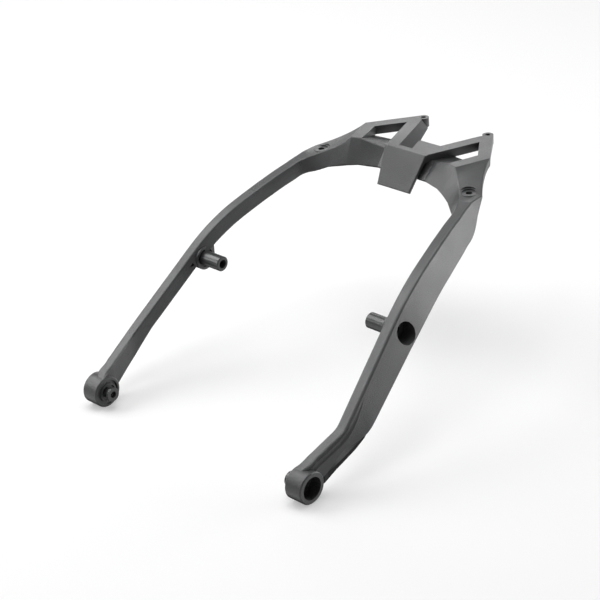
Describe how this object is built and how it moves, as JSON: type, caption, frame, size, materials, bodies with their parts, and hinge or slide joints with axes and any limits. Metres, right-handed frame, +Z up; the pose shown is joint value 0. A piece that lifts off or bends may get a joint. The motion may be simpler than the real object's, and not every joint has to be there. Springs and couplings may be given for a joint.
{
  "type": "motorcycle luggage rack",
  "caption": "Cast aluminium motorcycle luggage rack: two sweeping arms with round feet and spacer tubes join in a flat horned deck with strap windows and a bare centre plate.",
  "frame": {"origin": "middle of the rack's width and length, at the height of the lowest points of the round feet", "axes": "+X across to one side, +Y to the rear towards the horn tips, +Z up, with the deck level"},
  "size_m": [0.3042, 0.398, 0.1925],
  "materials": {
    "cast_frame": "satin dark grey powder coat on die-cast aluminium",
    "spacer": "satin dark grey coat on turned metal"
  },
  "bodies": {
    "root": {"frame": "cast_frame", "spacer_tube_right": "spacer", "spacer_tube_left": "spacer", "foot_collar_right": "spacer", "foot_collar_left": "spacer"}
  },
  "joints": []
}
